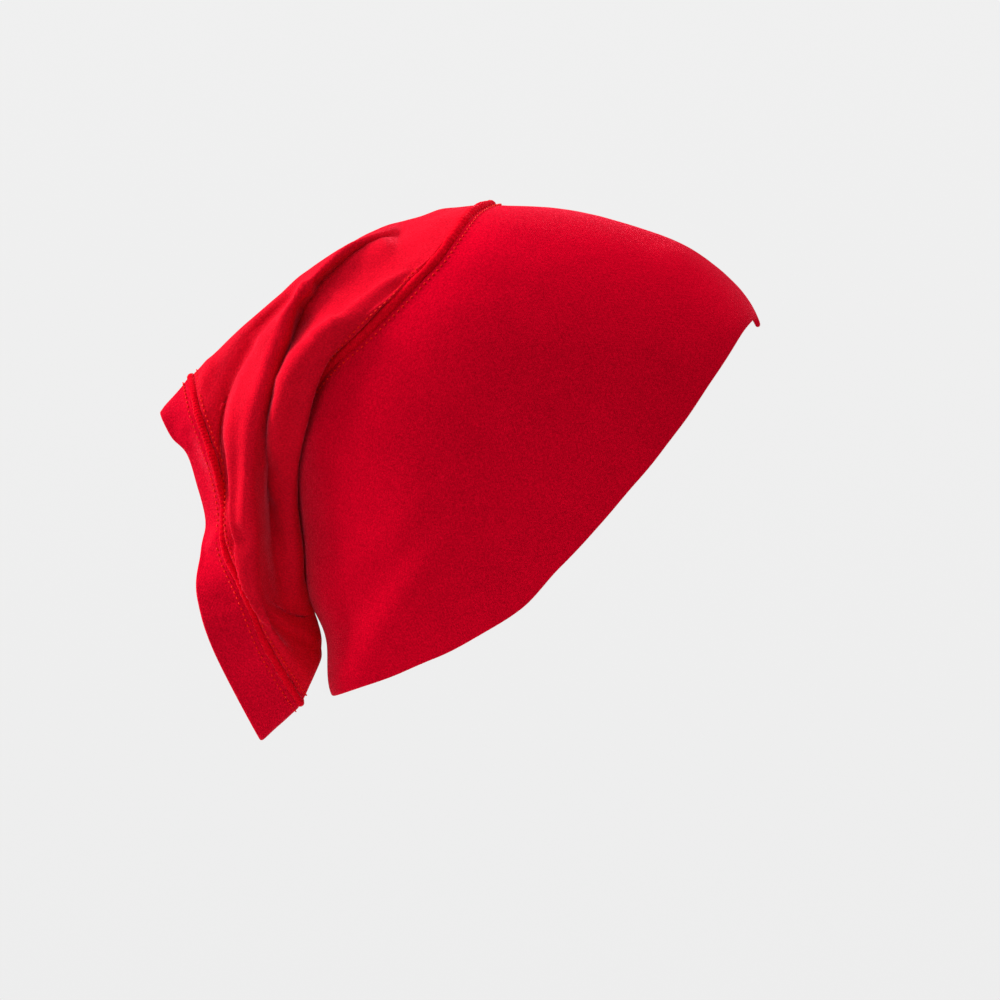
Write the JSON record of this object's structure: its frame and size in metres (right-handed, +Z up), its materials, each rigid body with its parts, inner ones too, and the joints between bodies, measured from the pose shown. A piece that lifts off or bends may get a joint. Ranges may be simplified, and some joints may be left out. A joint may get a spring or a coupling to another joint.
{
  "type": "hijab underscarf cap",
  "caption": "Stretch jersey tube cap: a wide doubled headband with a single-layer tube sewn on behind it, slouched into folds and hemmed round an open mouth.",
  "frame": {"origin": "inside of the crown, where the cap bears on the top of a head", "axes": "+X towards the wearer's face, +Z up, -Y the wearer's right side"},
  "size_m": [0.2308, 0.152, 0.2076],
  "materials": {
    "band_jersey": "matt stretch jersey, two layers",
    "tube_jersey": "matt stretch jersey, one layer, softly brushed",
    "seam_jersey": "rolled jersey welt with topstitching",
    "hem_jersey": "matt stretch jersey hem, two layers"
  },
  "bodies": {
    "root": {"front_band": "band_jersey", "crown_seam": "seam_jersey", "back_tube": "tube_jersey", "hem_seam": "seam_jersey", "hem_band": "hem_jersey"}
  },
  "joints": []
}
